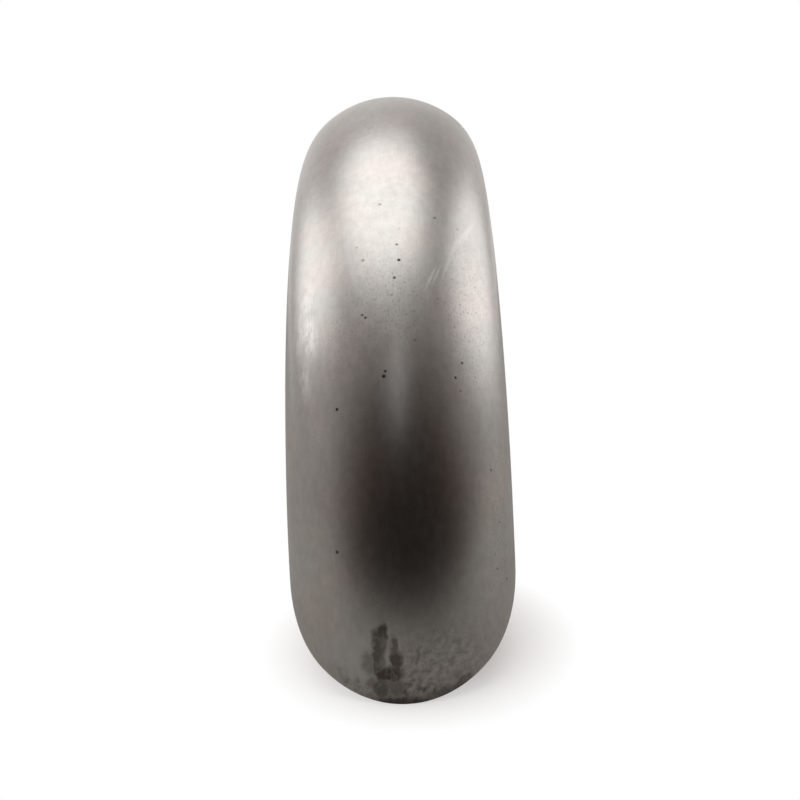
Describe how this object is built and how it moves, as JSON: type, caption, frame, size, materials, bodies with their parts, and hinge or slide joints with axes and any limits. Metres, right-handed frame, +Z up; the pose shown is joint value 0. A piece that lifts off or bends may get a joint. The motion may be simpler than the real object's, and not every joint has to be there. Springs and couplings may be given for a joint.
{
  "type": "motorcycle rear fender",
  "caption": "Bare steel rear fender for a motorcycle: a half-circle arch of crowned sheet with flat sides, a square front end and a sloping cut that leaves a round tail.",
  "frame": {"origin": "on the wheel axle's line at the fender's middle, level with its two ends, which stand on z = 0", "axes": "+Y towards the square front end, +X across the fender along the wheel axle, +Z up through the top of the arch"},
  "size_m": [0.14, 0.6759, 0.3379],
  "materials": {
    "bare_steel": "bare unpainted mild steel as pressed, satin, with a fine lengthwise grain, a few scratches and a dark stain at the tail"
  },
  "bodies": {
    "root": {"fender_shell": "bare_steel"}
  },
  "joints": []
}
